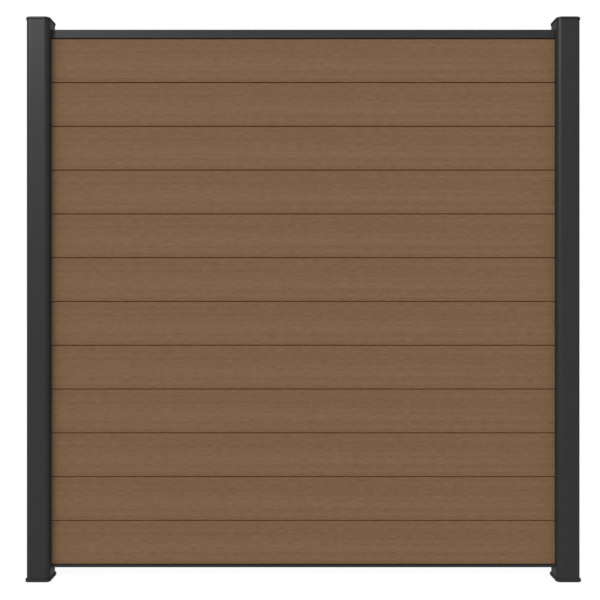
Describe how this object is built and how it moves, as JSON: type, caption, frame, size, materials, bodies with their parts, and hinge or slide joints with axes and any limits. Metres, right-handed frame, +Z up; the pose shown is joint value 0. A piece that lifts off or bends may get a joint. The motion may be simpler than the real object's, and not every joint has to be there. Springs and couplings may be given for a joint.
{
  "type": "composite fence panel",
  "caption": "Privacy fence bay: horizontal tongue-and-groove composite boards between a top and a bottom rail, held in the channels of two square capped posts on feet.",
  "frame": {"origin": "on the ground, midway between the posts and midway between the front and the rear", "axes": "+X along the boards to the right seen from the front, +Y towards the rear, +Z up"},
  "size_m": [1.8884, 0.0864, 1.917],
  "materials": {
    "post_coat": "satin powder coat",
    "rail_coat": "satin powder coat",
    "foot_coat": "satin powder coat",
    "cap_plastic": "satin moulded",
    "board_composite": "matt wood and plastic composite with a fine wood grain along the board",
    "gasket_rubber": "matt black",
    "bracket_steel": "plain stainless",
    "screw_steel": "plain stainless"
  },
  "bodies": {
    "root": {"left_post": "post_coat", "left_post_cap": "cap_plastic", "left_post_foot": "foot_coat", "left_front_gasket": "gasket_rubber", "left_rear_gasket": "gasket_rubber", "left_upper_bracket": "bracket_steel", "left_lower_bracket": "bracket_steel", "left_upper_cover": "post_coat", "left_lower_cover": "post_coat", "right_post": "post_coat", "right_post_cap": "cap_plastic", "right_post_foot": "foot_coat", "right_front_gasket": "gasket_rubber", "right_rear_gasket": "gasket_rubber", "right_upper_bracket": "bracket_steel", "right_lower_bracket": "bracket_steel", "right_upper_cover": "post_coat", "right_lower_cover": "post_coat", "bottom_rail": "rail_coat", "board_01": "board_composite", "board_02": "board_composite", "board_03": "board_composite", "board_04": "board_composite", "board_05": "board_composite", "board_06": "board_composite", "board_07": "board_composite", "board_08": "board_composite", "board_09": "board_composite", "board_10": "board_composite", "board_11": "board_composite", "board_12": "board_composite", "top_rail": "rail_coat", "post_screws": "screw_steel", "rail_screws": "screw_steel"}
  },
  "joints": []
}
